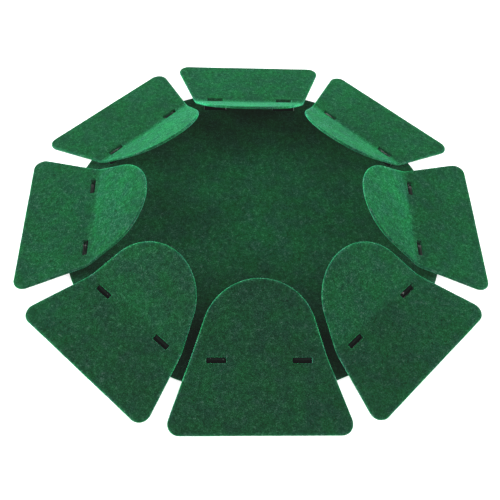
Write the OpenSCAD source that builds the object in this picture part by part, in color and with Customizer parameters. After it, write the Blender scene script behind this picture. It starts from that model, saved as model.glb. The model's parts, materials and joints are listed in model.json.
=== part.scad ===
// Putting practice cup for golf: a flocked steel disc that lies on the ground, ringed by eight
// see-saw flaps. A ball rolls up any ramp, tips the flap's tongue down and drops inside. The ramp
// falls back under its own weight, and the raised tongue keeps the ball in.
// Millimetres, +Z up. The origin is on the ground at the disc's centre, and -Y is the front.

/* [Ring] */
// Distance from the centre to each flap's pivot line
pivot_r = 82; // [81:0.5:86]
// Height of the pivot line above the ground
pivot_h = 5.1; // [4.6:0.1:6]
// Diameter of the base disc
base_d = 191.6; // [188:0.2:196]

/* [Flap] */
// Length of the ramp, from the pivot to its outer edge
ramp_len = 34.2; // [32:0.2:38]
// Width of the ramp at its outer edge, before its corners are rounded
outer_w = 85.2; // [80:0.2:88]
// Width of the flap at its bend
bend_w = 61.4; // [59:0.2:62]
// Length of the tongue, from the bend to its tip
tongue_len = 35.6; // [33:0.2:37]
// Slope of the raised tongue, in degrees
tongue_slope = 38; // [34:0.5:40]
// Distance from the pivot in to the corner of the bend
bend_in = 1.2; // [1:0.1:3]
// Radius of the bend, on the upper face
bend_r = 7; // [4:0.5:8]
// Radius of the ramp's outer corners
corner_r = 5.2; // [3:0.2:8]

/* [Sheet] */
// Thickness of the steel sheet
steel_t = 1; // [0.8:0.1:1]
// Thickness of the flock on each face and edge
flock_t = 0.2; // [0.1:0.05:0.2]

/* [Slots and lugs] */
// Distance between a flap's two slots, centre to centre
slot_spacing = 38.8; // [36:0.2:42]
// Length of a slot, across the flap
slot_len = 9; // [8.6:0.1:10]
// Reach of a slot from the pivot towards the bend
slot_in = 0.9; // [0.9:0.05:1]
// Reach of a slot from the pivot towards the outer edge
slot_out = 2; // [1.5:0.05:2.2]
// Width of a lug's shoulders, which carry the flap
lug_w = 12; // [11:0.2:13]
// Width of the tab that stands through the slot
tab_w = 8; // [7:0.1:8]

/* [Hidden] */
$fn = 96;

// The flaps, counter-clockwise from the front.
PLACES = ["front", "front_right", "right", "back_right", "back", "back_left", "left", "front_left"];

big = 200;
total_t = steel_t + 2 * flock_t;

// The flap rocks on the lugs' round shoulders, with a running gap under it.
seat_gap = 0.1;
seat_r = steel_t / 2 + seat_gap;
// The ramp lies at the slope that brings its outer edge down to the ground.
ramp_slope = asin(pivot_h / sqrt(ramp_len ^ 2 + seat_r ^ 2)) + atan(seat_r / ramp_len);

// The bend's corner is where the two upper faces would meet.
half_bend = (tongue_slope - ramp_slope) / 2;

// The flap's outline, seen square to the middle of its bend. The sides taper in straight lines
// and run into one round end.
edge_x = (ramp_len + bend_in) * cos(half_bend) + total_t * sin(half_bend);
tip_x = -tongue_len * cos(half_bend);
taper = atan((outer_w - bend_w) / 2 / edge_x);
round_r = (outer_w / 2 * cos(taper) - (edge_x - tip_x) * sin(taper)) / (1 - sin(taper));

// The lugs are bent up out of the base disc, and each leaves a window outside itself.
root_r = 0.8;
tab_sink = 0.3;
tab_top = pivot_h + (seat_r + total_t) / cos(ramp_slope) - tab_sink;
window_w = lug_w + 1;
window_in = steel_t / 2 + root_r;
window_out = steel_t / 2 + 6;

// Turns its children to flap i's place: +X points outwards there, and Y runs along the pivot.
module at_flap(i) {
    rotate([0, 0, -90 + i * 360 / len(PLACES)]) children();
}

// Puts its children on the ramp's upper face above the pivot, with +X down the ramp.
module on_ramp() {
    translate([pivot_r, 0, pivot_h])
        rotate([0, ramp_slope, 0])
            translate([0, 0, seat_r + total_t])
                children();
}

// Puts its children at the bend's corner, square to the middle of the bend.
module on_bend() {
    on_ramp() translate([-bend_in, 0, 0]) rotate([0, half_bend, 0]) children();
}

// What lies above a flap's upper or lower face: a wide wedge with a round bottom of radius r.
module above_face(r) {
    centre_z = bend_r / cos(half_bend);
    start_x = r * sin(half_bend);
    start_z = centre_z - r * cos(half_bend);
    end_x = start_x + big / 2 * cos(half_bend);
    end_z = start_z + big / 2 * sin(half_bend);
    rotate([90, 0, 0]) {
        translate([0, centre_z, 0]) cylinder(r = r, h = big, center = true);
        linear_extrude(big, center = true)
            polygon([[start_x, start_z], [end_x, end_z], [-end_x, end_z], [-start_x, start_z]]);
    }
}

// The flap's outline as a tall prism: straight tapering sides, one round end and two rounded
// outer corners.
module outline_prism(inset) {
    end_r = round_r - inset;
    fillet_r = corner_r - inset;
    end_x = tip_x + round_r;
    fillet_x = edge_x - corner_r;
    fillet_y = outer_w / 2 - corner_r * tan(taper) - corner_r / cos(taper);
    translate([end_x, 0, 0]) cylinder(r = end_r, h = big, center = true);
    for (side = [-1, 1])
        translate([fillet_x, side * fillet_y, 0]) cylinder(r = fillet_r, h = big, center = true);
    linear_extrude(big, center = true)
        polygon([
            [end_x - end_r * sin(taper), end_r * cos(taper)],
            [fillet_x - fillet_r * sin(taper), fillet_y + fillet_r * cos(taper)],
            [edge_x - inset, fillet_y],
            [edge_x - inset, -fillet_y],
            [fillet_x - fillet_r * sin(taper), -fillet_y - fillet_r * cos(taper)],
            [end_x - end_r * sin(taper), -end_r * cos(taper)]
        ]);
}

// One bent flap with its two slots, inset all round.
module flap_solid(inset) {
    difference() {
        on_bend()
            intersection() {
                difference() {
                    above_face(bend_r + total_t - inset);
                    above_face(bend_r + inset);
                }
                outline_prism(inset);
            }
        for (side = [-1, 1])
            on_ramp()
                translate([
                    -slot_in - inset,
                    side * slot_spacing / 2 - slot_len / 2 - inset,
                    -2 * total_t
                ])
                    cube([slot_in + slot_out + 2 * inset, slot_len + 2 * inset, 3 * total_t]);
    }
}

// The base disc with a window outside each lug, inset all round. The lug's root closes the
// window's inner end, so that end isn't inset.
module disc_solid(inset) {
    difference() {
        translate([0, 0, inset]) cylinder(r = base_d / 2 - inset, h = total_t - 2 * inset);
        for (i = [0 : len(PLACES) - 1], side = [-1, 1])
            at_flap(i)
                translate([
                    pivot_r - window_in,
                    side * slot_spacing / 2 - window_w / 2 + flock_t - inset,
                    -total_t
                ])
                    cube([
                        window_in + window_out - flock_t + inset,
                        window_w - 2 * flock_t + 2 * inset,
                        3 * total_t
                    ]);
    }
}

// One lug: the root's quarter turn, the upright with its round shoulders, and the tab.
module lug() {
    root_z = flock_t + steel_t + root_r;
    translate([-window_in, -lug_w / 2, root_z])
        rotate([-90, 0, 0])
            rotate_extrude(angle = 90)
                translate([root_r, 0])
                    square([steel_t, lug_w]);
    translate([-steel_t / 2, -lug_w / 2, root_z]) cube([steel_t, lug_w, pivot_h - root_z]);
    translate([0, 0, pivot_h]) rotate([90, 0, 0]) cylinder(d = steel_t, h = lug_w, center = true);
    translate([-steel_t / 2, -tab_w / 2, pivot_h]) cube([steel_t, tab_w, tab_top - pivot_h]);
}

module base_plate() {
    color("silver") disc_solid(flock_t);
}

module base_flock() {
    color("darkgreen")
        difference() {
            disc_solid(0);
            disc_solid(flock_t);
        }
}

// The two lugs that carry flap i.
module lug_pair(i) {
    color("silver")
        at_flap(i)
            for (side = [-1, 1])
                translate([pivot_r, side * slot_spacing / 2, 0]) lug();
}

// Flap i's steel sheet.
module flap_steel(i) {
    color("silver") at_flap(i) flap_solid(flock_t);
}

// Flap i's flock, which wraps the steel on every face and edge.
module flap_flock(i) {
    color("darkgreen")
        at_flap(i)
            difference() {
                flap_solid(0);
                flap_solid(flock_t);
            }
}

base_plate();
base_flock();
for (i = [0 : len(PLACES) - 1]) {
    lug_pair(i);
    flap_steel(i);
    flap_flock(i);
}
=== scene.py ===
import json
import math

import bpy
import numpy as np
from mathutils import Matrix, Vector, noise
from mathutils.geometry import delaunay_2d_cdt


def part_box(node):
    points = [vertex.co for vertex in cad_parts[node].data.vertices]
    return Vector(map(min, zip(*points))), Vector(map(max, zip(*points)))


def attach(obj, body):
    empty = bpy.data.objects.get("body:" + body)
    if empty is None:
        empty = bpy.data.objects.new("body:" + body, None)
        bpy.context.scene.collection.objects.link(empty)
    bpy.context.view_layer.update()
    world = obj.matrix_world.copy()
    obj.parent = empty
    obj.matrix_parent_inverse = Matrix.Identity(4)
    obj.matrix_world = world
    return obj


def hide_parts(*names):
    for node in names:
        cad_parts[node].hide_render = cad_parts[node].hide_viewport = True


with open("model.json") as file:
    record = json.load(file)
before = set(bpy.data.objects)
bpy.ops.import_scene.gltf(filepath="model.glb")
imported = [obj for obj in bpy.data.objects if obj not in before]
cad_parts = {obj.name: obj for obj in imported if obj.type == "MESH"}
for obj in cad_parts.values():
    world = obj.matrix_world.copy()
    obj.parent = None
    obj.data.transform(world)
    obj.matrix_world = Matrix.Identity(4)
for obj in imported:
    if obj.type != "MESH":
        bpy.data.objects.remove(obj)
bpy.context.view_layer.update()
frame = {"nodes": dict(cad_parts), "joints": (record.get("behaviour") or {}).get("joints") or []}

# ---------------------------------------------------------------------------------------------
# Sizes, in metres and radians. They repeat part.scad's, except that the bend is softer here
# (BEND_R is 7 mm there). Each finished piece is checked against the box of the CAD node that it
# replaces.
# ---------------------------------------------------------------------------------------------
MM = 0.001
STEEL_T = 1.0 * MM
FLOCK_T = 0.2 * MM
TOTAL_T = STEEL_T + 2 * FLOCK_T
RAMP_LEN = 34.2 * MM
OUTER_W = 85.2 * MM
BEND_W = 61.4 * MM
TONGUE_LEN = 35.6 * MM
TONGUE_SLOPE = math.radians(38.0)
BEND_IN = 1.2 * MM
BEND_R = 9.0 * MM
CORNER_R = 5.2 * MM
SLOT_SPACING = 38.8 * MM
SLOT_LEN = 9.0 * MM
SLOT_IN = 0.9 * MM
SLOT_OUT = 2.0 * MM
LUG_W = 12.0 * MM
TAB_W = 8.0 * MM
SEAT_R = STEEL_T / 2 + 0.1 * MM
ROOT_R = 0.8 * MM
TAB_SINK = 0.3 * MM
WINDOW_W = LUG_W + 1.0 * MM - 2 * FLOCK_T
WINDOW_IN = STEEL_T / 2 + ROOT_R
WINDOW_OUT = STEEL_T / 2 + 6.0 * MM - FLOCK_T

joints = {j["child"]: j for j in frame["joints"]}
PLACES = [name[len("see_saw_"):] for name in joints]
front_pivot = joints["see_saw_" + PLACES[0]]["pos_m"]
PIVOT_R = math.hypot(front_pivot[0], front_pivot[1])
PIVOT_H = front_pivot[2]
BASE_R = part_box("base_flock")[1].x

RAMP_SLOPE = math.asin(PIVOT_H / math.hypot(RAMP_LEN, SEAT_R)) + math.atan(SEAT_R / RAMP_LEN)
HALF_BEND = (TONGUE_SLOPE - RAMP_SLOPE) / 2
EDGE_X = (RAMP_LEN + BEND_IN) * math.cos(HALF_BEND) + TOTAL_T * math.sin(HALF_BEND)
TIP_X = -TONGUE_LEN * math.cos(HALF_BEND)
TAPER = math.atan((OUTER_W - BEND_W) / 2 / EDGE_X)
ROUND_R = (OUTER_W / 2 * math.cos(TAPER) - (EDGE_X - TIP_X) * math.sin(TAPER)) / (
    1 - math.sin(TAPER)
)
# Where a flap's two straight sides would meet.
APEX_X = EDGE_X - OUTER_W / 2 / math.tan(TAPER)

# How far each flap sits from its regular place, and its lugs with it: the turn about the middle of
# the pivot in degrees, then the shift outwards and along the pivot in millimetres. Most are a fit
# to the photograph's outlines, rounded, and the rest were cut down from it or set one by one.
PLAY = {
    "front": (-0.3, -0.6, -0.1), "front_right": (-0.6, 0.1, -0.35), "right": (-0.9, -0.35, -0.4),
    "back_right": (0.0, -0.35, -0.2), "back": (-0.8, 0.2, 0.2), "back_left": (-0.9, -0.35, 0.25),
    "left": (-0.8, 0.2, 0.4), "front_left": (0.7, 0.25, 0.4),
}

# How much further than the rest each flap's tongue is bent up, in degrees.
TONGUE_LIFT = {"front": 0.8, "right": 0.4, "back_right": 0.4, "back": 2.5, "back_left": 0.4}

# The extra bend starts this far outside the pivot, and is complete this much further in.
LIFT_START = 1.0 * MM
LIFT_OVER = 4.4 * MM

# Rounding of the edges.
FLAP_RIM = 0.7 * MM
SLOT_RIM = 0.28 * MM
CORE_RIM = 0.45 * MM
DISC_RIM = 0.5 * MM
WINDOW_RIM = 0.4 * MM
LUG_RIM = 0.3 * MM
RIM_STEPS = 4

# Radii of corners, seen square to the sheet.
SLOT_CORNER_R = 0.35 * MM
WINDOW_CORNER_R = 0.8 * MM
LUG_FOOT_R = 0.4 * MM
SHOULDER_R = 0.9 * MM
TAB_FOOT_R = 0.35 * MM
TAB_TIP_R = 0.7 * MM

# Spacing of the vertices.
FLAP_STEP = 0.9 * MM
BEND_STEP = 0.45 * MM
CORE_STEP = 2.5 * MM
SLOT_STEP = 0.6 * MM
DISC_STEP = 1.5 * MM
DISC_EDGE_STEP = 1.2 * MM
LUG_STEP = 0.5 * MM
LUG_ROWS = 22
ROW_SPACING = 0.87       # of the step, so that the triangles are nearly equilateral

CORE_GAP = 0.03 * MM     # between a flap's steel and its flock
LUG_FOOT = 1.5 * MM      # how far a lug runs on into the disc
SHOULDER_DROP = 0.45 * MM    # room for a flap that sits off its regular place

# Unevenness: how much, and the size of its features.
WOBBLE, WOBBLE_SIZE = 0.05 * MM, 1.3 * MM
RIPPLE, RIPPLE_SIZE = 0.09 * MM, 22 * MM

# How much painted highlight the flock gets along its edges, where its fibres fan out: at a face's
# border, at most on the outline, and at most in a hole.
EDGE_HIGHLIGHT_START, EDGE_HIGHLIGHT_OUTLINE, EDGE_HIGHLIGHT_HOLE = 0.35, 1.0, 0.45
EDGE_HIGHLIGHT_SPREAD = 1.5         # so that it reaches its most before the middle of the edge

# A triangle smaller than this is a sliver along a straight edge.
SLIVER = 1e-4 * MM**2


# ---------------------------------------------------------------------------------------------
# Sheets: a closed, evenly meshed sheet with rounded edges and holes, made flat and then bent.
# ---------------------------------------------------------------------------------------------
def rounded_loop(corners, radii, step, corner_steps=6):
    """A closed line through corners with rounded turns, as points and normals. Going
    counter-clockwise the normals point outwards, going clockwise inwards."""
    points, normals = [], []
    count = len(corners)
    ends = []
    for i in range(count):
        before, here, after = (Vector(corners[(i + k) % count]) for k in (-1, 0, 1))
        d_in, d_out = (here - before).normalized(), (after - here).normalized()
        turn = math.atan2(d_in.x * d_out.y - d_in.y * d_out.x, d_in.dot(d_out))
        reach = radii[i] * math.tan(abs(turn) / 2)
        ends.append((here - d_in * reach, here + d_out * reach, d_in, turn))
    for i in range(count):
        start, stop, d_in, turn = ends[i]
        out = Vector((d_in.y, -d_in.x))
        sign = 1 if turn > 0 else -1
        centre = start - out * radii[i] * sign
        pieces = max(corner_steps, math.ceil(abs(turn) * radii[i] / step))
        for k in range(pieces + 1):
            a = turn * k / pieces
            n = Vector((
                out.x * math.cos(a) - out.y * math.sin(a),
                out.x * math.sin(a) + out.y * math.cos(a),
            ))
            points.append(centre + n * radii[i] * sign)
            normals.append(n)
        following = ends[(i + 1) % count][0]
        pieces = max(1, round((following - stop).length / step))
        direction = (following - stop).normalized()
        for k in range(1, pieces):
            points.append(stop + (following - stop) * k / pieces)
            normals.append(Vector((direction.y, -direction.x)))
    return np.array(points), np.array(normals)


def inside(points, loop):
    """Which points lie inside a closed loop."""
    x, y = points[:, :1], points[:, 1:2]
    x0, y0 = loop[:, 0], loop[:, 1]
    x1, y1 = np.roll(x0, -1), np.roll(y0, -1)
    crosses = (y0 > y) != (y1 > y)
    with np.errstate(divide="ignore", invalid="ignore"):
        at = x0 + (y - y0) * (x1 - x0) / (y1 - y0)
    return (crosses & (x < at)).sum(axis=1) % 2 == 1


def on_sheet(points, loops):
    """Which points lie inside the first loop, the outline, and outside the others, the holes."""
    keep = inside(points, loops[0])
    for hole in loops[1:]:
        keep &= ~inside(points, hole)
    return keep


def inner_points(loops, rows, step):
    """Staggered rows of points on a flat sheet, clear of its edges. rows: the u of each row."""
    low, high = loops[0][:, 1].min(), loops[0][:, 1].max()
    grid = []
    for k, u in enumerate(rows):
        v = np.arange(low + step * (0.25 + 0.5 * (k % 2)), high, step)
        grid.append(np.column_stack([np.full(len(v), u), v]))
    grid = np.concatenate(grid)
    grid = grid[on_sheet(grid, loops)]
    edge = np.concatenate(loops)
    near = np.concatenate([
        np.sqrt(((part[:, None] - edge[None]) ** 2).sum(-1)).min(1)
        for part in np.array_split(grid, max(1, len(grid) // 500))
    ])
    return grid[near > 0.5 * step]


def fill(points, loops):
    """Triangles, counter-clockwise, that fill a flat sheet. The points are the loops' own, in
    turn, and then the inner ones."""
    constraints, base = [], 0
    for loop in loops:
        count = len(loop)
        constraints += [(base + i, base + (i + 1) % count) for i in range(count)]
        base += count
    scale = 1 / MM
    out = delaunay_2d_cdt([Vector(p) for p in points * scale], constraints, [], 0, 1e-5)
    triangles = np.array([[out[3][i][0] for i in face] for face in out[2]])
    corners = points[triangles]
    a, b = corners[:, 1] - corners[:, 0], corners[:, 2] - corners[:, 0]
    twice_area = a[:, 0] * b[:, 1] - a[:, 1] * b[:, 0]
    flip = twice_area < 0
    triangles[flip] = triangles[flip][:, ::-1]
    keep = on_sheet(corners.mean(axis=1), loops) & (np.abs(twice_area) > 2 * SLIVER)
    return triangles[keep]


def rim_profile(rim, thick):
    """From the upper face round to the lower face: how far in from the edge, and how high."""
    steps = [math.pi / 2 * k / RIM_STEPS for k in range(RIM_STEPS + 1)]
    upper = [(rim * (1 - math.sin(a)), thick / 2 - rim * (1 - math.cos(a))) for a in steps]
    lower = [(inset, -height) for inset, height in reversed(upper)]
    # A full round has one line along its middle, not two in the same place.
    return upper + (lower[1:] if lower[0][1] > -1e-9 else lower)


def sheet(loops, rims, thick, rows, step):
    """A flat sheet's vertices (u, v, w), its faces, and how much painted highlight the flock gets
    at each vertex, from 0 on a face to 1 on an edge. loops: the outline counter-clockwise, then the
    holes clockwise, each as points and normals. rows: the u of each row of inner vertices."""
    flat = [p - n * rim for (p, n), rim in zip(loops, rims)]
    points = np.concatenate(flat + [inner_points(flat, rows, step)])
    triangles = fill(points, flat)
    top = np.column_stack([points, np.full(len(points), thick / 2)])
    bottom = np.column_stack([points, np.full(len(points), -thick / 2)])
    vertices = [top, bottom]
    edge_highlight = np.zeros(len(points))
    edge_highlight[:len(flat[0])] = EDGE_HIGHLIGHT_START
    edge_highlights = [edge_highlight, edge_highlight]
    faces = [tuple(t) for t in triangles.tolist()]
    faces += [tuple(t[::-1]) for t in (triangles + len(points)).tolist()]
    used, first_of = 2 * len(points), 0
    for k, ((p, n), rim) in enumerate(zip(loops, rims)):
        count = len(p)
        most = EDGE_HIGHLIGHT_OUTLINE if k == 0 else EDGE_HIGHLIGHT_HOLE
        rings = [np.arange(first_of, first_of + count)]
        for inset, height in rim_profile(rim, thick)[1:-1]:
            vertices.append(np.column_stack([p - n * inset, np.full(count, height)]))
            edge_highlights.append(np.full(count, most * min(1.0, EDGE_HIGHLIGHT_SPREAD * (1 - inset / rim))))
            rings.append(np.arange(used, used + count))
            used += count
        rings.append(np.arange(first_of, first_of + count) + len(points))
        for upper, lower in zip(rings, rings[1:]):
            u0, u1 = upper, np.roll(upper, -1)
            l0, l1 = lower, np.roll(lower, -1)
            faces += list(zip(u0.tolist(), l0.tolist(), l1.tolist(), u1.tolist()))
        first_of += count
    return np.concatenate(vertices), faces, np.concatenate(edge_highlights)


def rolled(points, mid_r, low, high):
    """Rolls a flat sheet's (u, v, w) round an axis mid_r above it, from angle low to angle high,
    and runs it straight on at both ends. The axis is at the origin, and w points towards it."""
    angle = np.clip(points[:, 0] / mid_r, low, high)
    rest = points[:, 0] - angle * mid_r
    r = mid_r - points[:, 2]
    return np.column_stack([
        r * np.sin(angle) + rest * np.cos(angle),
        points[:, 1],
        -r * np.cos(angle) + rest * np.sin(angle),
    ])


def new_piece(name, made, material, body, replaces, wobble=0.0, ripple=0.0):
    """A closed mesh piece. ripple warps it gently over centimetres, and wobble roughens the
    flock over a millimetre or two."""
    vertices, faces, edge_highlight = made
    mesh = bpy.data.meshes.new(name)
    mesh.from_pydata(vertices.tolist(), [], faces)
    mesh.attributes.new("rim", "FLOAT", "POINT").data.foreach_set("value", edge_highlight)
    mesh.update()
    if wobble or ripple:
        count = len(mesh.vertices)
        normals = np.empty(count * 3)
        mesh.vertex_normals.foreach_get("vector", normals)
        push = np.array([
            wobble * noise.noise(Vector(p) / WOBBLE_SIZE)
            + ripple * noise.noise(Vector(p) / RIPPLE_SIZE)
            for p in vertices
        ])
        pushed = vertices + normals.reshape(-1, 3) * push[:, None]
        mesh.vertices.foreach_set("co", pushed.ravel())
    mesh.polygons.foreach_set("use_smooth", [True] * len(mesh.polygons))
    mesh.update()
    piece = bpy.data.objects.new(name, mesh)
    bpy.context.scene.collection.objects.link(piece)
    mesh.materials.append(material)
    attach(piece, body)
    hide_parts(*replaces)
    return piece


# ---------------------------------------------------------------------------------------------
# Materials
# ---------------------------------------------------------------------------------------------
class Nodes:
    """A new material and short calls for its nodes."""

    def __init__(self, name):
        self.material = bpy.data.materials.new(name)
        self.material.use_nodes = True
        self.tree = self.material.node_tree
        self.shader = next(n for n in self.tree.nodes if n.type == "BSDF_PRINCIPLED")
        self.place = self.tree.nodes.new("ShaderNodeTexCoord").outputs["Object"]

    def node(self, kind, inputs=(), **settings):
        made = self.tree.nodes.new(kind)
        for key, value in settings.items():
            setattr(made, key, value)
        for key, value in dict(inputs).items():
            if isinstance(value, bpy.types.NodeSocket):
                self.tree.links.new(value, made.inputs[key])
            else:
                made.inputs[key].default_value = value
        return made

    def noise(self, size, detail=2.0, roughness=0.5, seed=0.0):
        """Noise with features of about the given size, between 0 and 1."""
        place = self.node("ShaderNodeVectorMath", {0: self.place, 1: (seed, seed, seed)},
                          operation="ADD").outputs[0]
        return self.node("ShaderNodeTexNoise", {
            "Vector": place, "Scale": 1 / size, "Detail": detail, "Roughness": roughness,
        }).outputs[0]

    def ramp(self, value, stops):
        """Blends from colour to colour as value passes each stop, given as position, colour."""
        made = self.node("ShaderNodeValToRGB", {"Fac": value})
        elements = made.color_ramp.elements
        while len(elements) < len(stops):
            elements.new(0.5)
        for element, (position, colour) in zip(elements, stops):
            element.position = position
            element.color = (*colour, 1)
        return made.outputs["Color"]

    def mix(self, share, a, b, blend="MIX"):
        made = self.node("ShaderNodeMix", data_type="RGBA", blend_type=blend)
        for key, value in ((0, share), (6, a), (7, b)):
            if isinstance(value, bpy.types.NodeSocket):
                self.tree.links.new(value, made.inputs[key])
            else:
                made.inputs[key].default_value = value if key == 0 else (*value, 1)
        return made.outputs[2]

    def math(self, operation, a, b, clamp=False):
        made = self.node("ShaderNodeMath", {0: a, 1: b}, operation=operation, use_clamp=clamp)
        return made.outputs[0]

    def bump(self, height, distance, strength):
        inputs = {"Height": height, "Distance": distance, "Strength": strength}
        return self.node("ShaderNodeBump", inputs).outputs[0]

    def finish(self, **sockets):
        """Links or sets the shader's sockets, with _ for a space in a name."""
        for key, value in sockets.items():
            target = self.shader.inputs[key.replace("_", " ")]
            if isinstance(value, bpy.types.NodeSocket):
                self.tree.links.new(value, target)
            else:
                target.default_value = value
        return self.material


def flock_material(name, shades):
    """Short electrostatic flock, in four shades from dark to light: single fibres and small clumps,
    whose tone differs at random, with painted glints where they would catch the light and painted
    shade in the dark pits between them, and broad patches that lean green or blue."""
    m = Nodes(name)
    fibre = m.noise(0.62 * MM, detail=3.0, roughness=0.75)
    clump = m.noise(1.9 * MM, detail=2.0, roughness=0.6, seed=3.1)
    patch = m.noise(8 * MM, detail=3.0, roughness=0.6, seed=1.9)
    drift = m.noise(26 * MM, detail=2.0, roughness=0.5, seed=7.7)
    # The grain's lightest shade is partly a painted glint of fibres catching the light, and its
    # darkest partly painted shade in the pits between them.
    grain_and_glints = m.math("ADD", m.math("MULTIPLY", fibre, 0.7), m.math("MULTIPLY", clump, 0.3))
    colour = m.ramp(grain_and_glints, list(zip((0.38, 0.49, 0.57, 0.66), shades)))
    lean = m.ramp(patch, [(0.36, (1.30, 0.86, 1.12)), (0.64, (0.72, 1.13, 0.90))])
    colour = m.mix(1.0, colour, lean, blend="MULTIPLY")
    shade = m.ramp(drift, [(0.3, (0.86, 0.86, 0.86)), (0.7, (1.12, 1.12, 1.12))])
    colour = m.mix(1.0, colour, shade, blend="MULTIPLY")
    # Painted sheen: the base colour is made lighter by angle of view, as if edge-on the fibres' lit
    # sides showed instead of the dark between them. The stops began as a fit to the shade of each
    # flap in the photograph, and were then set one by one. They aren't measured on real flock.
    edge_on = m.node("ShaderNodeLayerWeight", {"Blend": 0.5}).outputs["Facing"]
    sides = m.ramp(edge_on, [
        (0.02, (0.90, 0.90, 0.90)), (0.12, (1.06, 1.10, 1.06)), (0.21, (1.4, 1.62, 1.5)),
        (0.41, (1.3, 1.75, 1.55)), (0.66, (2.2, 3.8, 3.4)), (0.80, (3.2, 3.9, 3.9)),
        (0.95, (7.0, 5.9, 7.2)),
    ])
    colour = m.mix(1.0, colour, sides, blend="MULTIPLY")
    # Painted highlight: the colour is made lighter along the edges, where the fibres fan out and
    # would catch more light.
    at_edge = m.node("ShaderNodeAttribute", attribute_name="rim").outputs["Fac"]
    edge_highlight = m.ramp(at_edge, [(0.0, (1.0, 1.0, 1.0)), (1.0, (3.0, 2.1, 2.5))])
    colour = m.mix(1.0, colour, edge_highlight, blend="MULTIPLY")
    pile = m.bump(fibre, 0.35 * MM, 0.5)
    return m.finish(
        Base_Color=colour, Roughness=0.9, Specular_IOR_Level=0.04, Normal=pile,
        Sheen_Weight=1.0, Sheen_Roughness=0.40, Sheen_Tint=(0.010, 0.085, 0.035, 1),
    )


def steel_material(name, flock_with_painted_shade=None):
    """Cold-rolled sheet steel with fine rolling marks, and if asked, flock left on it where
    nothing rubs."""
    m = Nodes(name)
    stretch = m.node("ShaderNodeVectorMath", {0: m.place, 1: (1.0, 1.0, 12.0)},
                     operation="MULTIPLY").outputs[0]
    marks = m.node("ShaderNodeTexNoise", {
        "Vector": stretch, "Scale": 1 / (0.9 * MM), "Detail": 3.0, "Roughness": 0.6,
    }).outputs[0]
    stain = m.noise(2.5 * MM, detail=3.0, seed=5.5)
    stained = m.ramp(stain, [(0.4, (0, 0, 0)), (0.7, (1, 1, 1))])
    bare = m.mix(stained, (0.42, 0.43, 0.43), (0.28, 0.28, 0.27))
    rough = m.math("ADD", m.math("MULTIPLY", marks, 0.25), 0.34)
    lines = m.bump(marks, 0.02 * MM, 0.5)
    if flock_with_painted_shade is None:
        return m.finish(Base_Color=bare, Metallic=1.0, Roughness=rough, Normal=lines)
    # The flock is worn off only near the tabs' tips, above the flap.
    height = m.node("ShaderNodeSeparateXYZ", {0: m.place}).outputs["Z"]
    high = m.math("DIVIDE", m.math("SUBTRACT", height, 6.0 * MM), 0.5 * MM, clamp=True)
    worn = m.math("MULTIPLY", m.math("SUBTRACT", stain, 0.68), 9.0, clamp=True)
    wear = m.math("MULTIPLY", high, worn)
    fibre = m.noise(0.5 * MM, detail=3.0, roughness=0.7)
    # The flock here is in the colours given, which for the lugs are painted dark as shade.
    green = m.ramp(fibre, [(0.35, flock_with_painted_shade[0]), (0.7, flock_with_painted_shade[1])])
    colour = m.mix(wear, green, bare)
    return m.finish(
        Base_Color=colour, Metallic=wear,
        Roughness=m.math("SUBTRACT", 0.95, m.math("MULTIPLY", wear, 0.55)),
        Specular_IOR_Level=0.04, Normal=m.bump(fibre, 0.2 * MM, 0.4),
    )


FLOCK = flock_material("green_flock", (
    (0.0001, 0.0112, 0.0034), (0.0006, 0.0240, 0.0080),
    (0.0044, 0.0360, 0.0152), (0.0220, 0.0590, 0.0355),
))
STEEL = steel_material("sheet_steel")
# The lugs' flock is painted far darker than the flaps' flock, as painted shade, for the lugs stand
# in shade under the flaps and in the slots.
LUG_STEEL = steel_material(
    "flocked_lug_steel", ((0.0005, 0.0020, 0.0013), (0.0015, 0.0040, 0.0028)),
)


# ---------------------------------------------------------------------------------------------
# Flaps
# ---------------------------------------------------------------------------------------------
def develop(points, normals, mid_r, half_bend):
    """From the outline as seen square to the middle of the bend to the flat sheet's outline."""
    x = points[:, 0]
    bent = mid_r * math.sin(half_bend)
    arc = mid_r * np.arcsin(np.clip(x / mid_r, -math.sin(half_bend), math.sin(half_bend)))
    u = arc + (x - np.clip(x, -bent, bent)) / math.cos(half_bend)
    stretch = 1 / np.cos(np.clip(arc / mid_r, -half_bend, half_bend))
    n = np.column_stack([normals[:, 0] / stretch, normals[:, 1]])
    return np.column_stack([u, points[:, 1]]), n / np.linalg.norm(n, axis=1)[:, None]


def box_loop(u0, u1, v0, v1, radius, step, corner_steps=4):
    """A clockwise rounded rectangle, for a hole."""
    return rounded_loop([(u0, v0), (u0, v1), (u1, v1), (u1, v0)], [radius] * 4, step, corner_steps)


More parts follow.
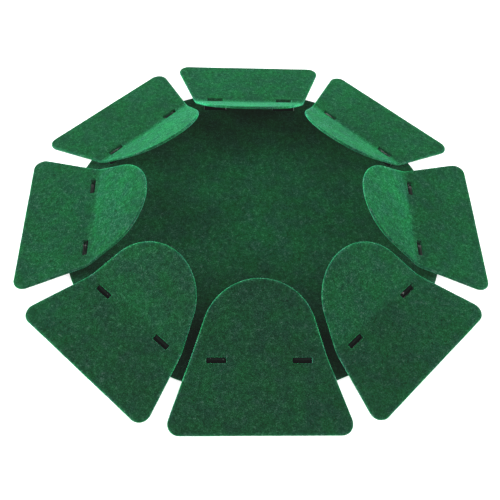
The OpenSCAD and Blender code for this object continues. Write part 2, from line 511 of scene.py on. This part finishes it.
def flap_sheet(inset, rims, step):
    """One flap's sheet, inset all round and bent: +X points down the ramp, and the origin is the
    pivot, in the middle of the lugs' round shoulders."""
    mid_r = BEND_R + TOTAL_T / 2
    outline = rounded_loop(
        [(EDGE_X, -OUTER_W / 2), (EDGE_X, OUTER_W / 2), (APEX_X, 0)],
        [CORNER_R, CORNER_R, ROUND_R], step,
    )
    loops = [develop(*outline, mid_r, HALF_BEND)]
    bend_end = mid_r * HALF_BEND
    for side in (-1, 1):
        middle = side * SLOT_SPACING / 2
        loops.append(box_loop(
            BEND_IN - SLOT_IN, BEND_IN + SLOT_OUT,
            middle - SLOT_LEN / 2, middle + SLOT_LEN / 2, SLOT_CORNER_R, SLOT_STEP,
        ))
    loops = [(p - n * inset, n) for p, n in loops]
    low, high = loops[0][0][:, 0].min(), loops[0][0][:, 0].max()
    bend_step = step * BEND_STEP / FLAP_STEP
    row_step = step * ROW_SPACING
    rows = np.concatenate([
        np.linspace(low, -bend_end, round((-bend_end - low) / row_step), endpoint=False),
        np.linspace(-bend_end, bend_end, round(2 * bend_end / bend_step), endpoint=False),
        np.linspace(bend_end, high, round((high - bend_end) / row_step)),
    ])
    vertices, faces, edge_highlight = sheet(loops, rims, TOTAL_T - 2 * inset, rows, step)
    vertices = rolled(vertices, mid_r, -HALF_BEND, HALF_BEND)
    place = (
        Matrix.Translation((-BEND_IN, 0, SEAT_R + TOTAL_T))
        @ Matrix.Rotation(HALF_BEND, 4, "Y")
        @ Matrix.Translation((0, 0, BEND_R / math.cos(HALF_BEND)))
    )
    return moved((vertices, faces, edge_highlight), place)


def lifted(made, angle):
    """The same flap with its tongue bent up a little more, about the corner of the bend."""
    vertices = made[0]
    corner = np.array([-BEND_IN, 0, SEAT_R + TOTAL_T])
    share = np.clip((-vertices[:, 0] + LIFT_START) / LIFT_OVER, 0, 1)
    a = angle * share * share * (3 - 2 * share)
    x, y, z = (vertices - corner).T
    turned = np.column_stack([x * np.cos(a) + z * np.sin(a), y, z * np.cos(a) - x * np.sin(a)])
    return turned + corner, *made[1:]


def moved(made, matrix):
    """The same piece, with its vertices moved by a matrix."""
    m = np.array(matrix)
    return made[0] @ m[:3, :3].T + m[:3, 3], *made[1:]


def lug_sheets():
    """A pair of lugs, each lanced out of the disc and bent up, with +X outwards at the pivot."""
    mid_r = ROOT_R + STEEL_T / 2
    bend_end = mid_r * math.pi / 2
    root_z = FLOCK_T + STEEL_T + ROOT_R
    tab_top = PIVOT_H + (SEAT_R + TOTAL_T) / math.cos(RAMP_SLOPE) - TAB_SINK
    shoulder = bend_end + PIVOT_H - root_z + STEEL_T / 2 - SHOULDER_DROP
    tip = bend_end + tab_top - root_z
    half, tab = LUG_W / 2, TAB_W / 2
    outline = rounded_loop(
        [(-LUG_FOOT, half), (-LUG_FOOT, -half), (shoulder, -half), (shoulder, -tab),
         (tip, -tab), (tip, tab), (shoulder, tab), (shoulder, half)],
        [LUG_FOOT_R, LUG_FOOT_R, SHOULDER_R, TAB_FOOT_R,
         TAB_TIP_R, TAB_TIP_R, TAB_FOOT_R, SHOULDER_R],
        LUG_STEP, 5,
    )
    rows = np.linspace(-LUG_FOOT, tip, LUG_ROWS)
    vertices, faces, edge_highlight = sheet([outline], [LUG_RIM], STEEL_T, rows, LUG_STEP)
    vertices = rolled(vertices, mid_r, 0, math.pi / 2)
    vertices = vertices + np.array([-WINDOW_IN, 0, root_z])
    pair = [vertices + np.array([0, side * SLOT_SPACING / 2, 0]) for side in (-1, 1)]
    both = faces + [tuple(i + len(vertices) for i in face) for face in faces]
    return np.concatenate(pair), both, np.concatenate([edge_highlight, edge_highlight])


def check_box(piece, node, slack=3 * MM):
    """Stops the script if a piece has left the box of the CAD node that it replaces."""
    corners = np.array([v.co for v in piece.data.vertices])
    low, high = (np.array(c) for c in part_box(node))
    away = max(np.abs(corners.min(axis=0) - low).max(), np.abs(corners.max(axis=0) - high).max())
    if away > slack:
        raise SystemExit(f"{piece.name} is {away / MM:.2f} mm off the box of {node}")


coat = flap_sheet(0, [FLAP_RIM, SLOT_RIM, SLOT_RIM], FLAP_STEP)
core = flap_sheet(FLOCK_T + CORE_GAP, [CORE_RIM] * 3, CORE_STEP)
lugs = lug_sheets()
for place in PLACES:
    joint = joints["see_saw_" + place]
    x, y, _ = joint["pos_m"]
    turn = Matrix.Rotation(math.atan2(y, x), 4, "Z")
    angle, outwards, along = PLAY[place]
    lift = math.radians(TONGUE_LIFT.get(place, 0))
    on_lugs = (
        turn
        @ Matrix.Translation((PIVOT_R, 0, PIVOT_H))
        @ Matrix.Rotation(RAMP_SLOPE, 4, "Y")
        @ Matrix.Translation((outwards * MM, along * MM, 0))
        @ Matrix.Rotation(math.radians(angle), 4, "Z")
    )
    on_ground = (
        turn
        @ Matrix.Translation((PIVOT_R + outwards * MM, along * MM, 0))
        @ Matrix.Rotation(math.radians(angle), 4, "Z")
    )
    check_box(new_piece(
        "flap_coat_" + place, moved(lifted(coat, lift), on_lugs), FLOCK,
        "see_saw_" + place, ["flap_flock_" + place], wobble=WOBBLE, ripple=RIPPLE,
    ), "flap_flock_" + place)
    check_box(new_piece(
        "flap_core_" + place, moved(lifted(core, lift), on_lugs), STEEL,
        "see_saw_" + place, ["flap_" + place], ripple=RIPPLE,
    ), "flap_" + place)
    check_box(new_piece(
        "lug_pair_" + place, moved(lugs, on_ground), LUG_STEEL,
        "base", ["lugs_" + place],
    ), "lugs_" + place)


# ---------------------------------------------------------------------------------------------
# Base disc
# ---------------------------------------------------------------------------------------------
def disc_sheet():
    """The flocked disc with its windows, flat on the ground."""
    count = round(2 * math.pi * BASE_R / DISC_EDGE_STEP)
    angles = np.arange(count) * 2 * math.pi / count
    around = np.column_stack([np.cos(angles), np.sin(angles)])
    loops = [(around * BASE_R, around)]
    for place in PLACES:
        x, y, _ = joints["see_saw_" + place]["pos_m"]
        a = math.atan2(y, x)
        turn = np.array([[math.cos(a), -math.sin(a)], [math.sin(a), math.cos(a)]])
        for side in (-1, 1):
            middle = side * SLOT_SPACING / 2
            p, n = box_loop(
                PIVOT_R - WINDOW_IN, PIVOT_R + WINDOW_OUT,
                middle - WINDOW_W / 2, middle + WINDOW_W / 2, WINDOW_CORNER_R, DISC_EDGE_STEP,
            )
            loops.append((p @ turn.T, n @ turn.T))
    rows = np.arange(-BASE_R + DISC_STEP / 2, BASE_R, DISC_STEP * ROW_SPACING)
    rims = [DISC_RIM] + [WINDOW_RIM] * (len(loops) - 1)
    disc = sheet(loops, rims, TOTAL_T, rows, DISC_STEP)
    return moved(disc, Matrix.Translation((0, 0, TOTAL_T / 2)))


check_box(new_piece(
    "base_coat", disc_sheet(), FLOCK,
    "base", ["base_flock"], wobble=WOBBLE,
), "base_flock")

plate = frame["nodes"]["base_plate"]
plate.data.materials.clear()
plate.data.materials.append(STEEL)


# ---------------------------------------------------------------------------------------------
# Camera, floor and light
# ---------------------------------------------------------------------------------------------
def add_camera():
    """The photograph's viewing angle: from the front and above, a little to the left, and rolled
    a few degrees. The numbers come from a fit to the photograph's outlines."""
    distance, elevation, azimuth = 0.4184, math.radians(52.47), math.radians(-5.14)
    roll, yaw, pitch = math.radians(4.153), math.radians(-0.106), math.radians(-1.833)
    eye = distance * Vector((
        math.cos(elevation) * math.sin(azimuth),
        -math.cos(elevation) * math.cos(azimuth),
        math.sin(elevation),
    ))
    forward = -eye.normalized()
    right = forward.cross(Vector((0, 0, 1))).normalized()
    up = right.cross(forward)
    forward = (forward + yaw * right + pitch * up).normalized()
    right = forward.cross(Vector((0, 0, 1))).normalized()
    up = right.cross(forward)
    right, up = (
        math.cos(roll) * right + math.sin(roll) * up,
        -math.sin(roll) * right + math.cos(roll) * up,
    )
    data = bpy.data.cameras.new("camera")
    data.sensor_width = 36.0
    data.lens = 58.52
    data.clip_start = 0.01
    camera = bpy.data.objects.new("camera", data)
    camera.matrix_world = Matrix((
        (right.x, up.x, -forward.x, eye.x),
        (right.y, up.y, -forward.y, eye.y),
        (right.z, up.z, -forward.z, eye.z),
        (0, 0, 0, 1),
    ))
    bpy.context.scene.collection.objects.link(camera)
    bpy.context.scene.camera = camera


def add_sun(name, azimuth, elevation, strength):
    """A very soft, even lamp, like a large studio panel. Azimuth 0 stands in front and 90 on the
    right."""
    data = bpy.data.lights.new(name, "SUN")
    data.angle = math.radians(40)
    data.energy = strength
    lamp = bpy.data.objects.new(name, data)
    a, e = math.radians(azimuth), math.radians(elevation)
    away = Vector((math.sin(a) * math.cos(e), -math.cos(a) * math.cos(e), math.sin(e)))
    lamp.location = away
    lamp.rotation_euler = (-away).to_track_quat("-Z", "Y").to_euler()
    bpy.context.scene.collection.objects.link(lamp)


def add_stage():
    """A pale floor that curves up into a low wall far behind the object, all the way round."""
    m = Nodes("pale_floor")
    speck = m.noise(0.04, detail=3.0)
    colour = m.ramp(speck, [(0.3, (0.46, 0.46, 0.46)), (0.7, (0.49, 0.49, 0.49))])
    # It glows outside the disc only, so that the slots and windows stay dark.
    away = m.node("ShaderNodeVectorMath", {0: m.place}, operation="LENGTH").outputs["Value"]
    out = m.math("DIVIDE", m.math("SUBTRACT", away, BASE_R - 5 * MM), 5 * MM, clamp=True)
    glow = m.ramp(out, [(0.0, (0, 0, 0)), (1.0, (1, 1, 1))])
    material = m.finish(
        Base_Color=colour, Roughness=0.9, Specular_IOR_Level=0.1,
        Emission_Color=glow, Emission_Strength=0.85,
    )
    flat_r, cove_r, wall_h, sides = 4.0, 0.5, 1.0, 96
    turns = [math.pi / 2 * k / 8 for k in range(9)]
    profile = [(flat_r + cove_r * math.sin(t), cove_r * (1 - math.cos(t))) for t in turns]
    profile.append((flat_r + cove_r, wall_h))
    points, faces = [(0, 0, 0)], []
    angles = [2 * math.pi * k / sides for k in range(sides)]
    for r, z in profile:
        points += [(r * math.cos(a), r * math.sin(a), z) for a in angles]
    for k in range(sides):
        after = (k + 1) % sides
        faces.append((0, 1 + k, 1 + after))
        for ring in range(len(profile) - 1):
            low, high = 1 + ring * sides, 1 + (ring + 1) * sides
            faces.append((low + k, high + k, high + after, low + after))
    mesh = bpy.data.meshes.new("floor")
    mesh.from_pydata(points, [], faces)
    mesh.polygons.foreach_set("use_smooth", [True] * len(mesh.polygons))
    mesh.materials.append(material)
    floor = bpy.data.objects.new("floor", mesh)
    floor.location.z = -0.2 * MM
    floor.visible_shadow = False    # or its wall would shade the low lamps
    bpy.context.scene.collection.objects.link(floor)


def add_world():
    """An even, dim white surround."""
    world = bpy.data.worlds.new("studio")
    world.use_nodes = True
    background = world.node_tree.nodes["Background"]
    background.inputs["Color"].default_value = (1.0, 1.0, 1.0, 1)
    background.inputs["Strength"].default_value = 0.3
    bpy.context.scene.world = world


def set_view():
    """Plain colours, and blacks a little raised all over, as by a bright surround."""
    view = bpy.context.scene.view_settings
    view.view_transform = "Standard"
    view.look = "None"
    view.use_curve_mapping = True
    view.curve_mapping.black_level = (-0.0085,) * 3
    view.curve_mapping.update()


add_camera()
add_stage()
add_world()
# The lamps began as a fit to the shades in the photograph, and were then set one by one.
for lamp_name, azimuth, elevation, strength in (
    ("panel_left", -86, 20, 7.2),
    ("panel_upper_left", -90, 50, 0.8),
    ("panel_right", 78, 20, 3.8),
    ("panel_upper_right", 90, 50, 1.4),
    ("panel_front", 0, 40, 0.2),
    ("panel_back", 180, 50, 0.4),
):
    add_sun(lamp_name, azimuth, elevation, strength)
set_view()
